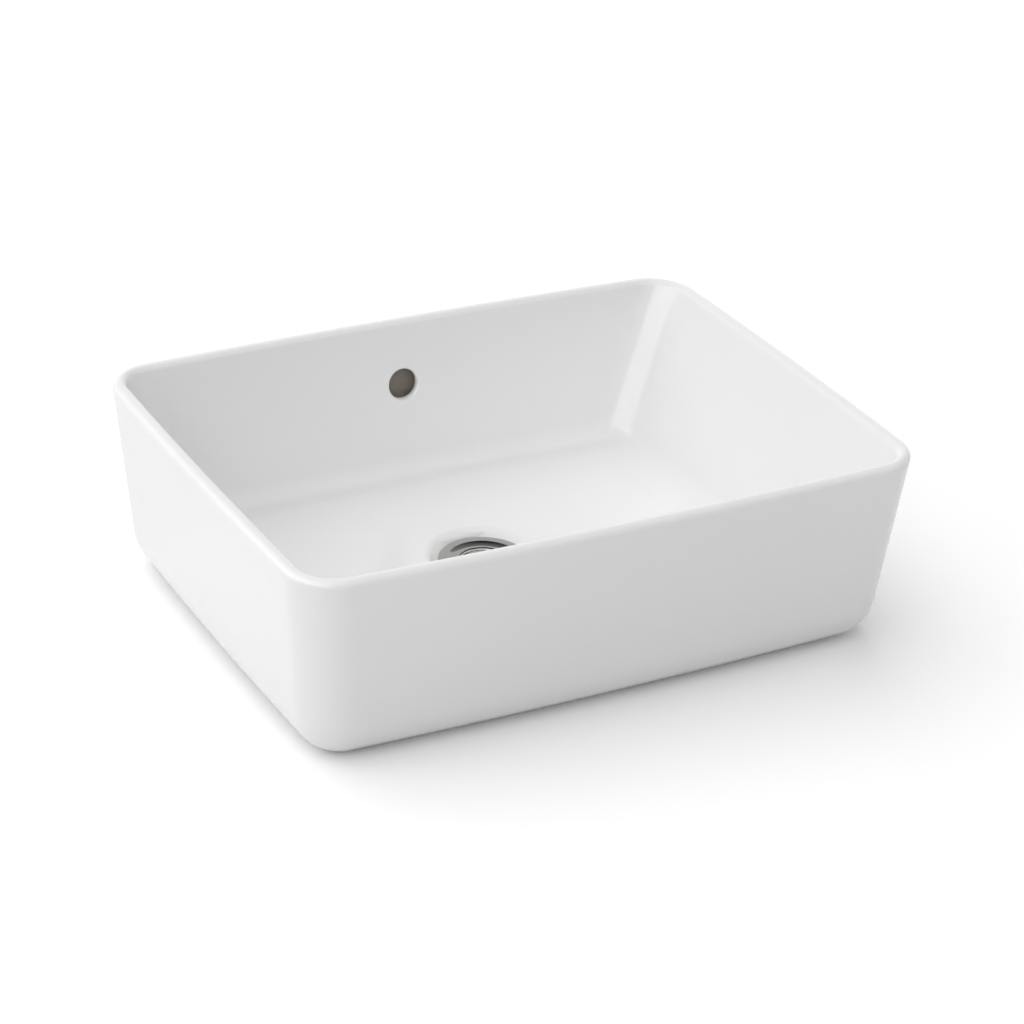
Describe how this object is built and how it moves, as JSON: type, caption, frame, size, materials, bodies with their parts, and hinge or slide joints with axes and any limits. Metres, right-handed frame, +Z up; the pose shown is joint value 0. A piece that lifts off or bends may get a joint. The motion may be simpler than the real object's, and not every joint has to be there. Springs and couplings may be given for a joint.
{
  "type": "countertop basin",
  "caption": "Rectangular countertop wash basin with slightly bowed tapering sides, an overflow hole in the back wall and a click waste with a threaded tail.",
  "frame": {"origin": "centre of the outline in plan, on the plane of the foot ring that rests on the worktop", "axes": "+X to the right along the long side, +Y to the back wall with the overflow hole, +Z up"},
  "size_m": [0.4988, 0.379, 0.199],
  "materials": {
    "vitreous_china": "white gloss glaze",
    "chromed_brass": "polished chrome plate on brass",
    "gasket_rubber": "moulded rubber",
    "washer_plastic": "moulded natural plastic",
    "brass": "machined brass",
    "cartridge_plastic": "moulded grey-white acetal",
    "index_plastic": "moulded acetal",
    "spring_steel": "drawn stainless wire"
  },
  "bodies": {
    "basin": {"basin_body": "vitreous_china", "waste_body": "chromed_brass", "flange_gasket": "gasket_rubber", "lower_gasket": "gasket_rubber", "friction_washer": "washer_plastic", "backnut": "brass", "cartridge_nut": "brass", "cartridge_housing": "cartridge_plastic", "cartridge_lid": "cartridge_plastic", "stem_o_ring": "gasket_rubber", "click_spring": "spring_steel"},
    "plug": {"plug_stem": "brass", "plug_cap": "chromed_brass", "plug_seal": "gasket_rubber", "seal_retainer": "washer_plastic"},
    "index": {"index_ring": "index_plastic"}
  },
  "joints": [
    {"name": "plug_lift", "type": "slide", "parent": "basin", "child": "plug", "axis": [0, 0, 1], "range_m": [0, 0.0085], "deforming": ["click_spring"]},
    {"name": "index_turn", "type": "hinge", "parent": "plug", "child": "index", "pos_m": [0, 0.026, -0.0045], "axis": [0, 0, 1], "range_deg": [0, 45]}
  ],
  "couplings": [
    {"joint": "index_turn", "follows": "plug_lift", "rad_per_m": 92.39}
  ]
}
